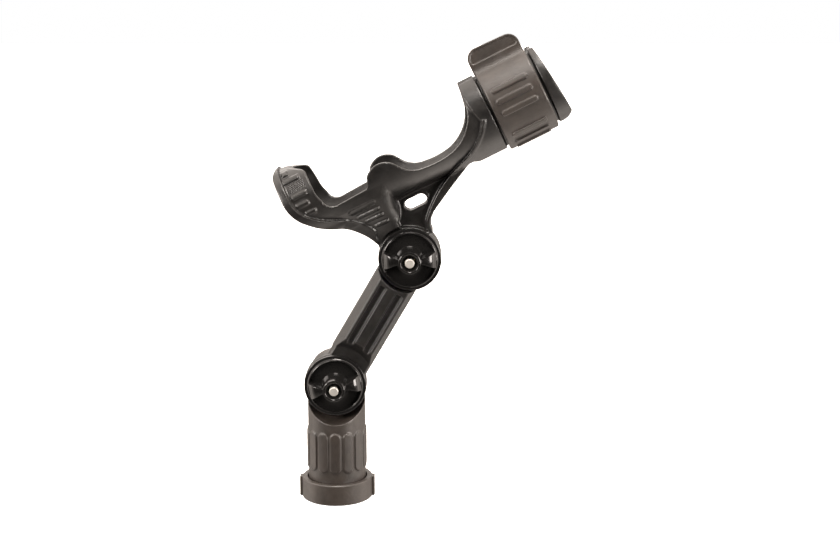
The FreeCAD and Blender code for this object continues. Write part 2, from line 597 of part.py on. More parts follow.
def main():
    os.makedirs("parts", exist_ok=True)
    nodes = {
        "base_tube": base_tube(),
        "base_collar": base_collar(),
        "lower_bolt": place_at_lower(bolt()),
        "lower_washer": place_at_lower(washer()),
        "lower_knob": place_at_lower(turned(knob(), LOWER_KNOB_TURN)),
        "lower_knob_insert": place_at_lower(turned(knob_insert(), LOWER_KNOB_TURN)),
        "extension_arm": extension_arm(),
        "upper_bolt": place_at_upper(turned(bolt(), -ARM_TILT)),
        "upper_washer": place_at_upper(washer()),
        "upper_knob": place_at_upper(turned(knob(), UPPER_KNOB_TURN)),
        "upper_knob_insert": place_at_upper(turned(knob_insert(), UPPER_KNOB_TURN)),
        "rod_cradle": rod_cradle(),
        "lock_ring": lock_ring(),
    }
    for name, shape in nodes.items():
        print(name, len(shape.Solids), shape.isValid(), round(shape.Volume))
        shape.exportStep("parts/" + name + ".step")


main()
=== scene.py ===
import json
import math

import bpy
from bpy.props import FloatProperty, FloatVectorProperty, IntProperty, PointerProperty
from mathutils import Matrix, Vector

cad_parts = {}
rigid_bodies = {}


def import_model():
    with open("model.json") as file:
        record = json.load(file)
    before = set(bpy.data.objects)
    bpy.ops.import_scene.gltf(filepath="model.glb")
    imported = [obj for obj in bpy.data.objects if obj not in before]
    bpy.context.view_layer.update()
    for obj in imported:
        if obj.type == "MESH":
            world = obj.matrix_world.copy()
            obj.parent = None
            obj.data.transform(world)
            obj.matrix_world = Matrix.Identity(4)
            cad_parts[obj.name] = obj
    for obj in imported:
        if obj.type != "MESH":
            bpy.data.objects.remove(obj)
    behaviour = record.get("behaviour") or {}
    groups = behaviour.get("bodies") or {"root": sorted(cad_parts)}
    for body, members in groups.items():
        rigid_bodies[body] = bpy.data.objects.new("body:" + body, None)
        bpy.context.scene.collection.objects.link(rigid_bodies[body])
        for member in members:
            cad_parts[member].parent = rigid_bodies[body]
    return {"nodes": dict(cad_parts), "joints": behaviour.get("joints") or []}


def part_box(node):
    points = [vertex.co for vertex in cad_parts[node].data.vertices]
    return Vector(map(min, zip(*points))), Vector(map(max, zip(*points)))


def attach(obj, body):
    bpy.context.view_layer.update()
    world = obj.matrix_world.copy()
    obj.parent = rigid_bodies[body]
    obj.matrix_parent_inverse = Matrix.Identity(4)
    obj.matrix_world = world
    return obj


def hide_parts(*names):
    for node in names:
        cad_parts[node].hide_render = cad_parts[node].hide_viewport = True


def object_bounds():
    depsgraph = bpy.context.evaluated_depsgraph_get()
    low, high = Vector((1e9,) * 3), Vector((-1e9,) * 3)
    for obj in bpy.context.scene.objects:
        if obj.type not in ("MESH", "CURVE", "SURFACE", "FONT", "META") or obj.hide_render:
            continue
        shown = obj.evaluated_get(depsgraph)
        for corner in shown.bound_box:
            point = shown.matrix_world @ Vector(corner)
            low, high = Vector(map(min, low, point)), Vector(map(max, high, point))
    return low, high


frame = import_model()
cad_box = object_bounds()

bl_info = {
    "name": "Rod Holder",
    "version": (1, 0, 0),
    "blender": (4, 5, 0),
    "location": "View3D > Sidebar > Rod Holder",
    "description": "Dresses the rod holder with moulded nylon, wing knobs, steel hardware and a studio",
    "category": "Object",
}

JOINTS = {joint["name"]: joint for joint in frame["joints"]}
LOWER_PIVOT = Vector(JOINTS["lower_tilt"]["pos_m"])
UPPER_PIVOT = Vector(JOINTS["upper_tilt"]["pos_m"])
ROD_CENTRE = Vector(JOINTS["ring_turn"]["pos_m"])
ROD_AXIS = -Vector(JOINTS["ring_turn"]["axis"]).normalized()
ROD_UP = Vector((-ROD_AXIS.z, 0, ROD_AXIS.x))
ROD_ABOVE_PIVOT = (ROD_CENTRE - UPPER_PIVOT).dot(ROD_UP)
HOOP_RADIUS = 0.027
WARM_WHITE = (1.0, 0.93, 0.87)


# --- properties ---------------------------------------------------------------------------
class RodHolderMoulding(bpy.types.PropertyGroup):
    """How finely each moulded piece is built and how soft its edges are."""

    cradle_grain: FloatProperty(
        name="Cradle grain", description="Cell size of the cradle's skin", default=0.00058, unit="LENGTH")
    ring_grain: FloatProperty(
        name="Ring grain", description="Cell size of the lock ring's skin", default=0.0004, unit="LENGTH")
    arm_grain: FloatProperty(
        name="Arm grain", description="Cell size of the arm's skin", default=0.00046, unit="LENGTH")
    tube_grain: FloatProperty(
        name="Tube grain", description="Cell size of the base tube's skin", default=0.00046, unit="LENGTH")
    soft_rounds: IntProperty(
        name="Soft rounds", description="Smoothing rounds that round the moulded edges", default=4,
        min=0, max=20)
    most_triangles: IntProperty(
        name="Most triangles", description="Flat stretches are thinned until a piece has this many",
        default=170000, min=1000)


class RodHolderKnobs(bpy.types.PropertyGroup):
    """Sizes of the wing knobs, measured from the knob's back face."""

    radius: FloatProperty(name="Radius", description="Skirt radius", default=0.0212, unit="LENGTH")
    rim_radius: FloatProperty(name="Rim radius", description="Rim radius", default=0.0185, unit="LENGTH")
    skirt_height: FloatProperty(
        name="Skirt height", description="Skirt above the back face", default=0.0024, unit="LENGTH")
    rim_height: FloatProperty(
        name="Rim height", description="Rim above the back face", default=0.0046, unit="LENGTH")
    floor_height: FloatProperty(
        name="Floor height", description="Sunken floor above the back face", default=0.0024, unit="LENGTH")
    hub_radius: FloatProperty(
        name="Hub radius", description="Hub radius at its foot", default=0.0092, unit="LENGTH")
    hub_front_radius: FloatProperty(
        name="Hub front radius", description="Hub radius at its front", default=0.0075, unit="LENGTH")
    hub_height: FloatProperty(
        name="Hub height", description="Hub above the back face", default=0.0165, unit="LENGTH")
    lower_turn: FloatProperty(
        name="Lower turn", description="How far the lower knob is turned", default=math.radians(10),
        subtype="ANGLE")
    upper_turn: FloatProperty(
        name="Upper turn", description="How far the upper knob is turned", default=math.radians(1.5),
        subtype="ANGLE")


class RodHolderCollar(bpy.types.PropertyGroup):
    """Sizes of the threaded collar."""

    radius: FloatProperty(name="Radius", description="Outer radius", default=0.02465, unit="LENGTH")
    height: FloatProperty(name="Height", description="Height", default=0.0145, unit="LENGTH")
    thread_radius: FloatProperty(
        name="Thread radius", description="Radius at the crest of the thread", default=0.0224,
        unit="LENGTH")
    lip_radius: FloatProperty(
        name="Lip radius", description="Radius of the top lip", default=0.0208, unit="LENGTH")
    tab_reach: FloatProperty(
        name="Tab reach", description="Reach of the two grip tabs", default=0.0263, unit="LENGTH")
    pitch: FloatProperty(name="Pitch", description="Thread pitch", default=0.003, unit="LENGTH")


class RodHolderColours(bpy.types.PropertyGroup):
    """Colours of the finishes."""

    nylon: FloatVectorProperty(
        name="Nylon", description="Moulded nylon", subtype="COLOR", size=3,
        default=(0.0050, 0.0047, 0.0045))
    # Pale end of the cradle and arm nylon's cloudy tone; on convex edges it also serves as a painted
    # highlight, partly edge wear.
    nylon_light: FloatVectorProperty(
        name="Nylon bloom", description="Lighter, drier nylon", subtype="COLOR", size=3,
        default=(0.0140, 0.0124, 0.0112))
    dry_nylon: FloatVectorProperty(
        name="Dry nylon", description="Weathered nylon of the base and the ring", subtype="COLOR", size=3,
        default=(0.020, 0.0165, 0.0142))
    # Pale end of the dry nylon's cloudy tone; on convex edges it also serves as a painted highlight, partly
    # edge wear.
    dry_nylon_light: FloatVectorProperty(
        name="Dry nylon bloom", description="Palest weathered nylon", subtype="COLOR", size=3,
        default=(0.040, 0.0320, 0.0270))
    knob: FloatVectorProperty(
        name="Knob", description="Polished knob nylon", subtype="COLOR", size=3,
        default=(0.0060, 0.0058, 0.0057))
    steel: FloatVectorProperty(
        name="Steel", description="Stainless steel", subtype="COLOR", size=3, default=(0.50, 0.485, 0.455))
    brass: FloatVectorProperty(
        name="Brass", description="Brass inserts", subtype="COLOR", size=3, default=(0.72, 0.52, 0.22))
    floor: FloatVectorProperty(
        name="Floor", description="Studio floor", subtype="COLOR", size=3, default=(0.93, 0.93, 0.93))


class RodHolderStage(bpy.types.PropertyGroup):
    """Camera, floor and lights."""

    camera_place: FloatVectorProperty(
        name="Camera place", description="Camera location", size=3, default=(0.0581, -0.9285, 0.3373),
        subtype="TRANSLATION", unit="LENGTH")
    camera_dip: FloatProperty(
        name="Camera dip", description="How far the camera looks down", default=math.radians(11.17),
        subtype="ANGLE")
    lens: FloatProperty(name="Lens", description="Focal length in mm on a 36 mm sensor", default=59.27)
    floor_size: FloatProperty(
        name="Floor size", description="Width of the floor", default=24.0, unit="LENGTH")
    floor_glow: FloatProperty(
        name="Floor glow", description="Light the floor paper gives off", default=0.75)
    table_light: FloatProperty(
        name="Table light", description="Strength of the light thrown up by the table", default=1.0)
    belt_light: FloatProperty(name="Belt light", description="Strength of the belt of light", default=5.0)
    belt_colour: FloatVectorProperty(
        name="Belt colour", description="Colour of the belt of light", subtype="COLOR", size=3,
        default=(1.0, 0.90, 0.82))


# --- modelling helpers --------------------------------------------------------------------
def deselect_all():
    if bpy.context.mode != "OBJECT":
        bpy.ops.object.mode_set(mode="OBJECT")
    bpy.ops.object.select_all(action="DESELECT")


def take(piece):
    """Select one piece and make it active."""
    deselect_all()
    piece.select_set(True)
    bpy.context.view_layer.objects.active = piece
    return piece


def settle(piece):
    """Put the piece's place and turn into its mesh."""
    take(piece)
    bpy.ops.object.transform_apply(location=True, rotation=True, scale=True)
    return piece


def apply_modifier(piece, kind, **settings):
    take(piece)
    modifier = piece.modifiers.new(kind.lower(), kind)
    for key, value in settings.items():
        setattr(modifier, key, value)
    bpy.ops.object.modifier_apply(modifier=modifier.name)
    return piece


def boolean(piece, other, operation):
    """Join, cut or intersect a piece with another one, which is used up."""
    apply_modifier(piece, "BOOLEAN", object=other, operation=operation, solver="EXACT")
    bpy.data.objects.remove(other)
    if len(piece.data.polygons) == 0:
        raise RuntimeError("nothing is left of " + piece.name)
    return piece


def gather(name, pieces):
    """Join pieces into the first one's object, keeping each as its own shell."""
    deselect_all()
    for piece in pieces:
        piece.select_set(True)
    bpy.context.view_layer.objects.active = pieces[0]
    if len(pieces) > 1:
        bpy.ops.object.join()
    pieces[0].name = name
    return pieces[0]


def pick_faces(piece, test):
    """In edit mode, select the faces whose centre and normal pass the test."""
    bpy.ops.mesh.select_all(action="DESELECT")
    bpy.ops.object.mode_set(mode="OBJECT")
    for polygon in piece.data.polygons:
        polygon.select = test(polygon.center, polygon.normal)
    bpy.ops.object.mode_set(mode="EDIT")


def pick_points(piece, test):
    """In edit mode, select the vertices whose place passes the test."""
    bpy.ops.mesh.select_mode(type="VERT")
    bpy.ops.mesh.select_all(action="DESELECT")
    bpy.ops.object.mode_set(mode="OBJECT")
    for vertex in piece.data.vertices:
        vertex.select = test(vertex.co)
    bpy.ops.object.mode_set(mode="EDIT")


def turned_solid(name, steps, sides=96):
    """A solid of revolution about Z, made by drawing one cap out through (radius, height) steps."""
    first_radius, first_height = steps[0]
    deselect_all()
    bpy.ops.mesh.primitive_cylinder_add(
        vertices=sides, radius=first_radius, depth=first_height, location=(0, 0, first_height / 2))
    piece = bpy.context.active_object
    piece.name = name
    settle(piece)
    bpy.ops.object.mode_set(mode="EDIT")
    bpy.ops.mesh.select_mode(type="FACE")
    pick_faces(piece, lambda centre, normal: normal.z > 0.9)
    radius, height = first_radius, first_height
    for next_radius, next_height in steps[1:]:
        bpy.ops.mesh.extrude_region_move(
            TRANSFORM_OT_translate={"value": (0, 0, next_height - height)})
        scale = next_radius / radius
        bpy.ops.transform.resize(value=(scale, scale, 1), center_override=(0, 0, next_height))
        radius, height = next_radius, next_height
    bpy.ops.object.mode_set(mode="OBJECT")
    return piece


def round_edges(piece, width, segments=3, angle=35):
    """Bevel every edge sharper than the angle."""
    return apply_modifier(
        piece, "BEVEL", width=width, segments=segments, limit_method="ANGLE",
        angle_limit=math.radians(angle), use_clamp_overlap=True, miter_outer="MITER_ARC")


def smooth_shade(piece, angle=35):
    take(piece)
    bpy.ops.object.shade_smooth_by_angle(angle=math.radians(angle), keep_sharp_edges=False)
    return piece


def merged_copy(node, name):
    """A copy of a CAD node as one welded mesh, ready to be worked on."""
    take(frame["nodes"][node])
    bpy.ops.object.duplicate()
    piece = bpy.context.active_object
    bpy.ops.object.parent_clear(type="CLEAR_KEEP_TRANSFORM")
    for key in [key for key in piece.keys() if key.startswith("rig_")]:
        del piece[key]
    piece.name = name
    piece.data.materials.clear()
    take(piece)
    bpy.ops.object.mode_set(mode="EDIT")
    bpy.ops.mesh.select_all(action="SELECT")
    bpy.ops.mesh.remove_doubles(threshold=0.000002)
    bpy.ops.object.mode_set(mode="OBJECT")
    return piece


def mould(piece, grain):
    """Give a piece one even skin, soften its edges, as a moulding has, and thin its flat stretches."""
    moulding = bpy.context.scene.rod_holder_moulding
    apply_modifier(piece, "REMESH", mode="VOXEL", voxel_size=grain, adaptivity=0.0)
    if moulding.soft_rounds:
        apply_modifier(piece, "SMOOTH", factor=0.5, iterations=moulding.soft_rounds)
    triangles = sum(len(polygon.vertices) - 2 for polygon in piece.data.polygons)
    if triangles > moulding.most_triangles:
        apply_modifier(piece, "DECIMATE", ratio=moulding.most_triangles / triangles)
    take(piece)
    bpy.ops.object.shade_smooth()
    return piece


def finish_piece(piece, body, material, nodes):
    """Give a piece its material and tie it to the frame."""
    settle(piece)
    piece.data.materials.clear()
    piece.data.materials.append(material)
    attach(piece, body)
    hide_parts(*nodes)


# --- materials ----------------------------------------------------------------------------
def new_material(name):
    material = bpy.data.materials.new(name)
    material.use_nodes = True
    tree = material.node_tree
    return material, tree, tree.nodes["Principled BSDF"]


def noise(tree, scale, detail=3.0, roughness=0.5, stretch=None):
    """Noise on the object's own coordinates, optionally stretched."""
    place = tree.nodes.new("ShaderNodeTexCoord")
    texture = tree.nodes.new("ShaderNodeTexNoise")
    texture.inputs["Scale"].default_value = scale
    texture.inputs["Detail"].default_value = detail
    texture.inputs["Roughness"].default_value = roughness
    source = place.outputs["Object"]
    if stretch:
        mapping = tree.nodes.new("ShaderNodeMapping")
        mapping.inputs["Scale"].default_value = stretch
        tree.links.new(source, mapping.inputs["Vector"])
        source = mapping.outputs["Vector"]
    tree.links.new(source, texture.inputs["Vector"])
    return texture.outputs["Fac"]


def ranged(tree, value, low, high, to_low, to_high):
    """Map a value from one range to another, held at its ends."""
    node = tree.nodes.new("ShaderNodeMapRange")
    for key, number in (("From Min", low), ("From Max", high), ("To Min", to_low), ("To Max", to_high)):
        node.inputs[key].default_value = number
    tree.links.new(value, node.inputs["Value"])
    return node.outputs["Result"]


def mixed_colour(tree, factor, first, second):
    node = tree.nodes.new("ShaderNodeMix")
    node.data_type = "RGBA"
    node.inputs[6].default_value = (*first, 1)
    node.inputs[7].default_value = (*second, 1)
    tree.links.new(factor, node.inputs[0])
    return node.outputs[2]


def bump(tree, height, strength, distance, below=None):
    node = tree.nodes.new("ShaderNodeBump")
    node.inputs["Strength"].default_value = strength
    node.inputs["Distance"].default_value = distance
    tree.links.new(height, node.inputs["Height"])
    if below is not None:
        tree.links.new(below, node.inputs["Normal"])
    return node.outputs["Normal"]


def nylon_material(name, dark, pale, rough_low, rough_high, grain_strength):
    """Glass-filled nylon: cloudy black, fine moulded grain, faint flow marks, and convex edges lightened,
    partly as edge wear and partly as a painted highlight.
    """
    material, tree, shader = new_material(name)
    clouds = noise(tree, 90, 5, 0.6)
    # Convex edges are lightened towards the pale colour: partly edge wear, partly a painted highlight for
    # the light that rounded edges catch.
    edge_sheen_and_wear = tree.nodes.new("ShaderNodeNewGeometry").outputs["Pointiness"]
    worn = ranged(tree, edge_sheen_and_wear, 0.52, 0.60, 0.0, 0.55)
    # The colour mix adds the random cloudy tone and the painted edge highlight together.
    dry = tree.nodes.new("ShaderNodeMath")
    dry.operation = "ADD"
    tree.links.new(ranged(tree, clouds, 0.35, 0.75, 0.0, 0.6), dry.inputs[0])
    tree.links.new(worn, dry.inputs[1])
    tree.links.new(mixed_colour(tree, dry.outputs[0], dark, pale), shader.inputs["Base Color"])
    smudge = noise(tree, 210, 4, 0.65)
    tree.links.new(ranged(tree, smudge, 0.3, 0.7, rough_low, rough_high), shader.inputs["Roughness"])
    flow = bump(tree, noise(tree, 160, 2, 0.5), 0.25, 0.0003)
    fine = bump(tree, noise(tree, 2600, 2, 0.6), grain_strength, 0.00012, flow)
    tree.links.new(fine, shader.inputs["Normal"])
    return material


def knob_material(colours):
    """Polished black nylon with faint handling marks."""
    material, tree, shader = new_material("polished knob nylon")
    marks = noise(tree, 320, 5, 0.7)
    worn = ranged(tree, marks, 0.4, 0.8, 0.0, 0.4)
    tree.links.new(mixed_colour(tree, worn, colours.knob, colours.nylon), shader.inputs["Base Color"])
    tree.links.new(ranged(tree, marks, 0.3, 0.75, 0.10, 0.22), shader.inputs["Roughness"])
    tree.links.new(bump(tree, noise(tree, 240, 2, 0.4), 0.08, 0.0002), shader.inputs["Normal"])
    return material


def steel_material(colours):
    """Stainless steel with fine turned marks."""
    material, tree, shader = new_material("stainless steel")
    shader.inputs["Metallic"].default_value = 1.0
    brushed = noise(tree, 700, 4, 0.6, stretch=(1, 8, 1))
    tint = tuple(0.86 * value for value in colours.steel)
    tree.links.new(mixed_colour(tree, brushed, colours.steel, tint), shader.inputs["Base Color"])
    tree.links.new(ranged(tree, brushed, 0.3, 0.7, 0.52, 0.68), shader.inputs["Roughness"])
    tree.links.new(bump(tree, brushed, 0.12, 0.00005), shader.inputs["Normal"])
    return material


def brass_material(colours):
    """Machined brass, slightly tarnished."""
    material, tree, shader = new_material("machined brass")
    shader.inputs["Metallic"].default_value = 1.0
    tarnish = noise(tree, 500, 5, 0.65)
    dark = tuple(0.6 * value for value in colours.brass)
    tree.links.new(mixed_colour(tree, tarnish, colours.brass, dark), shader.inputs["Base Color"])
    tree.links.new(ranged(tree, tarnish, 0.3, 0.7, 0.25, 0.45), shader.inputs["Roughness"])
    tree.links.new(bump(tree, tarnish, 0.1, 0.00004), shader.inputs["Normal"])
    return material


def finish(name):
    """The named finish, made once."""
    if name in bpy.data.materials:
        return bpy.data.materials[name]
    colours = bpy.context.scene.rod_holder_colours
    makers = {
        "cradle nylon": lambda: nylon_material(
            "cradle nylon", colours.nylon, colours.nylon_light, 0.28, 0.42, 0.26),
        "arm nylon": lambda: nylon_material(
            "arm nylon", colours.nylon, colours.nylon_light, 0.32, 0.48, 0.34),
        "dry nylon": lambda: nylon_material(
            "dry nylon", colours.dry_nylon, colours.dry_nylon_light, 0.34, 0.50, 0.34),
        "polished knob nylon": lambda: knob_material(colours),
        "stainless steel": lambda: steel_material(colours),
        "machined brass": lambda: brass_material(colours),
    }
    return makers[name]()


# --- pieces -------------------------------------------------------------------------------
class RODHOLDER_OT_base_tube(bpy.types.Operator):
    """Mould the base tube with its grip ribs and rear ear"""

    bl_idname = "rodholder.base_tube"
    bl_label = "Base Tube"

    def execute(self, context):
        moulding = context.scene.rod_holder_moulding
        tube = merged_copy("base_tube", "tube_body")
        mould(tube, moulding.tube_grain)
        finish_piece(tube, "base", finish("dry nylon"), ["base_tube"])
        return {"FINISHED"}


class RODHOLDER_OT_collar(bpy.types.Operator):
    """Turn the captive collar, with its grip tabs and thread"""

    bl_idname = "rodholder.collar"
    bl_label = "Collar"

    def execute(self, context):
        sizes = context.scene.rod_holder_collar
        edge, tab_thick, tab_edge = 0.0006, 0.0064, 0.0009
        root_radius = sizes.thread_radius + 0.0004
        bore_start, chamber_top, lip_start = -0.0009, 0.0127, 0.0129
        body = turned_solid("collar_body", [
            (sizes.radius - edge, 0.0001), (sizes.radius, edge), (sizes.radius, sizes.height - edge),
            (sizes.radius - 0.0004, sizes.height - 0.0002), (sizes.radius - edge, sizes.height)], 128)
        deselect_all()
        bpy.ops.mesh.primitive_cube_add(
            size=1, location=(0, 0, sizes.height / 2), scale=(2 * sizes.tab_reach, tab_thick, sizes.height))
        tabs = settle(bpy.context.active_object)
        round_edges(tabs, tab_edge, 3)
        boolean(body, tabs, "UNION")
        bore = turned_solid("collar_bore", [
            (root_radius, 0.001), (root_radius, chamber_top),
            (sizes.lip_radius, lip_start), (sizes.lip_radius, sizes.height + 0.0006),
            (sizes.lip_radius + 0.0009, sizes.height + 0.0015)], 128)
        bore.location.z = bore_start
        boolean(body, settle(bore), "DIFFERENCE")
        gather("collar_body", [body, self.thread(sizes)])
        smooth_shade(body, 30)
        finish_piece(body, "collar", finish("dry nylon"), ["base_collar"])
        return {"FINISHED"}

    def thread(self, sizes):
        """The internal thread: a small triangle wound up the bore."""
        tooth_radius, tooth_back, start, winds, steps = 0.0006, 0.0005, 0.0012, 2, 72
        deselect_all()
        bpy.ops.mesh.primitive_circle_add(
            vertices=3, radius=tooth_radius, fill_type="NGON", rotation=(math.pi / 2, 0, 0),
            location=(sizes.thread_radius + tooth_back, 0, start))
        coil = settle(bpy.context.active_object)
        apply_modifier(
            coil, "SCREW", axis="Z", angle=2 * math.pi, screw_offset=sizes.pitch, iterations=winds,
            steps=steps, render_steps=steps, use_merge_vertices=False, use_normal_calculate=True)
        bpy.ops.object.mode_set(mode="EDIT")
        bpy.ops.mesh.select_all(action="SELECT")
        bpy.ops.mesh.normals_make_consistent(inside=False)
        bpy.ops.object.mode_set(mode="OBJECT")
        return coil


class RODHOLDER_OT_arm(bpy.types.Operator):
    """Mould the grooved extension arm"""

    bl_idname = "rodholder.arm"
    bl_label = "Extension Arm"

    def execute(self, context):
        moulding = context.scene.rod_holder_moulding
        arm = merged_copy("extension_arm", "arm_body")
        mould(arm, moulding.arm_grain)
        finish_piece(arm, "arm", finish("arm nylon"), ["extension_arm"])
        return {"FINISHED"}


class RODHOLDER_OT_knobs(bpy.types.Operator):
    """Build the two wing knobs"""

    bl_idname = "rodholder.knobs"
    bl_label = "Wing Knobs"

    def execute(self, context):
        sizes = context.scene.rod_holder_knobs
        plan = (("lower", LOWER_PIVOT, sizes.lower_turn), ("upper", UPPER_PIVOT, sizes.upper_turn))
        for place, pivot, turn in plan:
            knob = self.knob(sizes, place + "_wing_knob")
            back_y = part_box(place + "_knob")[1].y
            knob.matrix_world = (
                Matrix.Translation((pivot.x, back_y, pivot.z))
                @ Matrix.Rotation(-turn, 4, "Y") @ Matrix.Rotation(math.pi / 2, 4, "X"))
            finish_piece(
                knob, place + "_knob_body", finish("polished knob nylon"), [place + "_knob"])
        return {"FINISHED"}

    def knob(self, sizes, name):
        """One knob on the XY plane, its back at z = 0 and its wings along X."""
        outer, skirt = sizes.radius, sizes.skirt_height
        rim, rim_top, floor = sizes.rim_radius, sizes.rim_height, sizes.floor_height
        front, hub_top = sizes.hub_front_radius, sizes.hub_height
        land, bore, bore_end = 0.0062, 0.0034, 0.0090
        pocket_across, pocket_depth, pocket_middle = 0.0101, 0.0108, 0.0037
        fine = 0.0002
        skirt_steps = [
            (outer - 2 * fine, fine), (outer, 3 * fine), (outer, skirt - 3 * fine),
            (outer - fine, skirt - fine), (outer - 3 * fine, skirt)]
        rim_steps = [
            (rim + 3 * fine, skirt), (rim + fine, skirt + 2 * fine), (rim, rim_top - 2 * fine),
            (rim - fine, rim_top - fine / 2), (rim - 2 * fine, rim_top),
            (rim - 3 * fine, rim_top - fine / 2), (rim - 4 * fine, rim_top - 2 * fine),
            (rim - 5 * fine, floor + 2 * fine), (rim - 7 * fine, floor)]
        hub_steps = [
            (sizes.hub_radius + 4 * fine, floor), (sizes.hub_radius + fine, floor + fine),
            (sizes.hub_radius, floor + 4 * fine), (front, hub_top - 3 * fine),
            (front - fine, hub_top - fine), (front - 2 * fine, hub_top - fine / 2),
            (front - 3 * fine, hub_top), (land, hub_top)]
        bore_steps = [
            (land - fine, hub_top - fine / 2), (land - 3 * fine, hub_top - 3 * fine),
            (land - 7 * fine, hub_top - 8 * fine), (bore + 5 * fine, hub_top - 11 * fine),
            (bore + 4 * fine, hub_top - 16 * fine), (bore + fine, hub_top - 22 * fine),
            (bore, bore_end)]
        body = turned_solid(name, skirt_steps + rim_steps + hub_steps + bore_steps, 128)
        for side in (-1, 1):
            boolean(body, self.wing(sizes, side), "UNION")
        deselect_all()
        bpy.ops.mesh.primitive_cylinder_add(
            vertices=6, radius=pocket_across / math.sqrt(3), depth=pocket_depth,
            location=(0, 0, pocket_middle), rotation=(0, 0, math.pi / 6))
        boolean(body, settle(bpy.context.active_object), "DIFFERENCE")
        smooth_shade(body, 28)
        return body

    def wing(self, sizes, side):
        """A bow-tie wing: narrow and tall at the hub, wide and low at the rim.

        Each station is its reach from the axis, its height, and its half width in front and at the foot.
        """
        foot = sizes.floor_height - 0.0004
        stations = (
            (0.0066, 0.0124, 0.0014, 0.0038),
            (0.0100, 0.0117, 0.0023, 0.0043),
            (0.0132, 0.0107, 0.0037, 0.0050),
            (0.0152, 0.0094, 0.0046, 0.0055),
            (0.0164, 0.0078, 0.0051, 0.0058),
            (0.0173, 0.0060, 0.0054, 0.0060),
            (0.0179, 0.0047, 0.0056, 0.0061),
        )
        inner = 0.0050
        reach, front, half_front, half_foot = stations[0]
        deselect_all()
        bpy.ops.mesh.primitive_cube_add(
            size=1, location=((inner + reach) / 2, 0, (foot + front) / 2),
            scale=(reach - inner, 2 * half_front, front - foot))
        wing = settle(bpy.context.active_object)
        bpy.ops.object.mode_set(mode="EDIT")
        middle = (foot + front) / 2
        pick_points(wing, lambda place: place.z < middle)
        bpy.ops.transform.resize(value=(1, half_foot / half_front, 1), center_override=(0, 0, foot))
        for last, new in zip(stations, stations[1:]):
            bpy.ops.mesh.select_mode(type="FACE")
            pick_faces(wing, lambda centre, normal: normal.x > 0.9)
            bpy.ops.mesh.extrude_region_move(TRANSFORM_OT_translate={"value": (new[0] - last[0], 0, 0)})
            edge, level = new[0] - 0.00001, (foot + last[1]) / 2
            pick_points(wing, lambda place: place.x > edge and place.z > level)
            bpy.ops.transform.resize(value=(1, new[2] / last[2], 1), center_override=(new[0], 0, last[1]))
            bpy.ops.transform.translate(value=(0, 0, new[1] - last[1]))
            pick_points(wing, lambda place: place.x > edge and place.z < foot + 0.0001)
            bpy.ops.transform.resize(value=(1, new[3] / last[3], 1), center_override=(new[0], 0, foot))
        bpy.ops.object.mode_set(mode="OBJECT")
        soft_edge = 0.00035
        round_edges(wing, soft_edge, 2, 40)
        if side < 0:
            wing.rotation_euler = (0, 0, math.pi)
        return settle(wing)


class RODHOLDER_OT_cradle(bpy.types.Operator):
    """Mould the rod cradle"""

    bl_idname = "rodholder.cradle"
    bl_label = "Rod Cradle"

    def execute(self, context):
        moulding = context.scene.rod_holder_moulding
        cradle = merged_copy("rod_cradle", "cradle_body")
        mould(cradle, moulding.cradle_grain)
        gather("cradle_body", [cradle] + self.knurl())
        finish_piece(cradle, "cradle", finish("cradle nylon"), ["rod_cradle"])
        return {"FINISHED"}


    def knurl(self):
        """Two patches of small pyramids on the hoop's sides, laid out along and round the rod."""
        pitch, radius, tip, height, sunk = 0.00125, 0.00078, 0.0001, 0.0006, 0.00012
        rows, columns, first_along, last_along = 6, 9, -0.0488, -0.0385
        first_turn = math.radians(24.5)
        studs = []
        for side in (-1, 1):
            for row in range(rows):
                turn = first_turn + row * pitch / HOOP_RADIUS
                out = Vector((0, side * math.cos(turn), 0)) + ROD_UP * math.sin(turn)
                facing = Matrix((ROD_AXIS, out.cross(ROD_AXIS), out)).transposed().to_4x4()
                for column in range(columns):
                    along = first_along + (column + 0.5 * (row % 2)) * pitch
                    if along > last_along:
                        continue
                    deselect_all()
                    bpy.ops.mesh.primitive_cone_add(vertices=4, radius1=radius, radius2=tip, depth=height)
                    stud = bpy.context.active_object
                    middle = UPPER_PIVOT + ROD_AXIS * along + ROD_UP * ROD_ABOVE_PIVOT
                    middle.y = 0
                    stud.matrix_world = (
                        Matrix.Translation(middle + out * (HOOP_RADIUS + height / 2 - sunk)) @ facing)
                    studs.append(settle(stud))
        return studs


class RODHOLDER_OT_lock_ring(bpy.types.Operator):
    """Mould the rotating lock ring"""

    bl_idname = "rodholder.lock_ring"
    bl_label = "Lock Ring"

    def execute(self, context):
        moulding = context.scene.rod_holder_moulding
        ring = merged_copy("lock_ring", "ring_body")
        mould(ring, moulding.ring_grain)
        finish_piece(ring, "ring", finish("dry nylon"), ["lock_ring"])
        return {"FINISHED"}


class RODHOLDER_OT_hardware(bpy.types.Operator):
    """Give the bolts, washers and inserts their metal finishes"""

    bl_idname = "rodholder.hardware"
    bl_label = "Hardware"

    def execute(self, context):
        metals = {
            "_bolt": "stainless steel", "_washer": "stainless steel", "_knob_insert": "machined brass"}
        for name, node in frame["nodes"].items():
            for ending, metal in metals.items():
                if name.endswith(ending):
                    node.data.materials.clear()
                    node.data.materials.append(finish(metal))
        return {"FINISHED"}


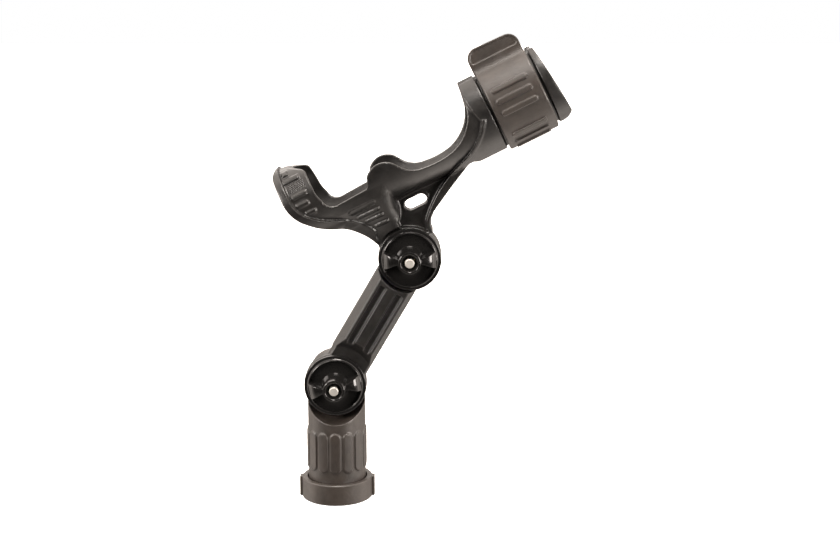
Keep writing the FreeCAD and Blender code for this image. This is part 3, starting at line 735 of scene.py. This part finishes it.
class RODHOLDER_OT_studio(bpy.types.Operator):
    """Set up the surrounding light, the pale floor, the soft boxes and the camera"""

    bl_idname = "rodholder.studio"
    bl_label = "Studio"

    def execute(self, context):
        stage = context.scene.rod_holder_stage
        self.surround(context, stage)
        self.floor(context, stage)
        self.lights()
        self.camera(context, stage)
        return {"FINISHED"}

    def surround(self, context, stage):
        """White to look at; as light, a belt round the object, dim in front, and a glow from below."""
        world = context.scene.world or bpy.data.worlds.new("studio")
        context.scene.world = world
        world.use_nodes = True
        tree = world.node_tree
        light = tree.nodes["Background"]
        heading = tree.nodes.new("ShaderNodeSeparateXYZ")
        tree.links.new(tree.nodes.new("ShaderNodeTexCoord").outputs["Generated"], heading.inputs["Vector"])
        belt = tree.nodes.new("ShaderNodeValToRGB")
        belt.color_ramp.interpolation = "EASE"
        front_to_back = ((0.0, 0.008), (0.20, 0.024), (0.40, 0.45), (0.54, 1.0), (0.70, 0.42), (1.0, 0.16))
        while len(belt.color_ramp.elements) < len(front_to_back):
            belt.color_ramp.elements.new(1.0)
        for element, (place, level) in zip(belt.color_ramp.elements, front_to_back):
            element.position = place
            element.color = tuple(level * tint for tint in stage.belt_colour) + (1.0,)
        tree.links.new(ranged(tree, heading.outputs["Y"], -1.0, 1.0, 0.0, 1.0), belt.inputs["Fac"])
        tree.links.new(belt.outputs["Color"], light.inputs["Color"])
        height = ranged(tree, heading.outputs["Z"], -0.5, 0.3, 0.45 * stage.belt_light, stage.belt_light)
        tree.links.new(height, light.inputs["Strength"])
        table = tree.nodes.new("ShaderNodeBackground")
        table.inputs["Color"].default_value = (*stage.belt_colour, 1)
        below = ranged(tree, heading.outputs["Z"], -0.90, -0.38, stage.table_light, 0.0)
        tree.links.new(below, table.inputs["Strength"])
        both = tree.nodes.new("ShaderNodeAddShader")
        tree.links.new(light.outputs["Background"], both.inputs[0])
        tree.links.new(table.outputs["Background"], both.inputs[1])
        white = tree.nodes.new("ShaderNodeBackground")
        white.inputs["Color"].default_value = (1, 1, 1, 1)
        choose = tree.nodes.new("ShaderNodeMixShader")
        tree.links.new(tree.nodes.new("ShaderNodeLightPath").outputs["Is Camera Ray"], choose.inputs[0])
        tree.links.new(both.outputs["Shader"], choose.inputs[1])
        tree.links.new(white.outputs["Background"], choose.inputs[2])
        tree.links.new(choose.outputs["Shader"], tree.nodes["World Output"].inputs["Surface"])
        context.scene.view_settings.view_transform = "Standard"

    def floor(self, context, stage):
        """A glowing paper floor just under the object, left out of the object's reflections."""
        gap = 0.0002
        deselect_all()
        bpy.ops.mesh.primitive_plane_add(size=stage.floor_size, location=(0, 0, -gap))
        floor = settle(bpy.context.active_object)
        floor.name = "studio_floor"
        material, tree, shader = new_material("studio floor paper")
        colour = context.scene.rod_holder_colours.floor
        tint = tuple(0.985 * value for value in colour)
        tree.links.new(mixed_colour(tree, noise(tree, 3, 2), colour, tint), shader.inputs["Base Color"])
        shader.inputs["Roughness"].default_value = 0.9
        shader.inputs["Emission Color"].default_value = (*colour, 1)
        shader.inputs["Emission Strength"].default_value = stage.floor_glow
        floor.visible_diffuse = False
        floor.visible_glossy = False
        floor.data.materials.append(material)

    def lights(self):
        """Four soft boxes aimed at the middle of the object: name, place, width and watts."""
        plan = (
            ("key", (-0.85, -0.66, 0.55), 0.45, 17.0),
            ("side", (0.92, -0.62, 0.22), 0.50, 16.0),
            ("top", (0.05, -0.50, 1.20), 0.40, 16.0),
            ("back", (-0.3, 0.9, 0.9), 0.8, 6.0),
        )
        target = (cad_box[0] + cad_box[1]) / 2
        for name, place, size, power in plan:
            deselect_all()
            bpy.ops.object.light_add(type="AREA", location=place)
            light = bpy.context.active_object
            light.name = "softbox_" + name
            light.data.size = size
            light.data.energy = power
            light.data.color = WARM_WHITE
            light.rotation_euler = (target - Vector(place)).to_track_quat("-Z", "Y").to_euler()

    def camera(self, context, stage):
        deselect_all()
        bpy.ops.object.camera_add(
            location=stage.camera_place, rotation=(math.pi / 2 - stage.camera_dip, 0, 0))
        camera = bpy.context.active_object
        camera.data.lens = stage.lens
        camera.data.sensor_width = 36.0
        context.scene.camera = camera


class RODHOLDER_PT_panel(bpy.types.Panel):
    """Sidebar panel that lists the steps"""

    bl_label = "Rod Holder"
    bl_idname = "RODHOLDER_PT_panel"
    bl_space_type = "VIEW_3D"
    bl_region_type = "UI"
    bl_category = "Rod Holder"

    def draw(self, context):
        layout = self.layout
        for step in STEPS:
            layout.operator(step.bl_idname)
        for group in ("moulding", "knobs", "collar", "colours", "stage"):
            box = layout.box()
            settings = getattr(context.scene, "rod_holder_" + group)
            for key in settings.__annotations__:
                box.prop(settings, key)


STEPS = (
    RODHOLDER_OT_base_tube, RODHOLDER_OT_collar, RODHOLDER_OT_arm, RODHOLDER_OT_knobs,
    RODHOLDER_OT_cradle, RODHOLDER_OT_lock_ring, RODHOLDER_OT_hardware, RODHOLDER_OT_studio,
)
GROUPS = {
    "rod_holder_moulding": RodHolderMoulding,
    "rod_holder_knobs": RodHolderKnobs,
    "rod_holder_collar": RodHolderCollar,
    "rod_holder_colours": RodHolderColours,
    "rod_holder_stage": RodHolderStage,
}


def register():
    for group in GROUPS.values():
        bpy.utils.register_class(group)
    for name, group in GROUPS.items():
        setattr(bpy.types.Scene, name, PointerProperty(type=group))
    for step in STEPS:
        bpy.utils.register_class(step)
    bpy.utils.register_class(RODHOLDER_PT_panel)


def unregister():
    bpy.utils.unregister_class(RODHOLDER_PT_panel)
    for step in reversed(STEPS):
        bpy.utils.unregister_class(step)
    for name in GROUPS:
        delattr(bpy.types.Scene, name)
    for group in reversed(list(GROUPS.values())):
        bpy.utils.unregister_class(group)


def main():
    register()
    bpy.ops.rodholder.base_tube()
    bpy.ops.rodholder.collar()
    bpy.ops.rodholder.arm()
    bpy.ops.rodholder.knobs()
    bpy.ops.rodholder.cradle()
    bpy.ops.rodholder.lock_ring()
    bpy.ops.rodholder.hardware()
    bpy.ops.rodholder.studio()


if __name__ == "__main__":
    main()
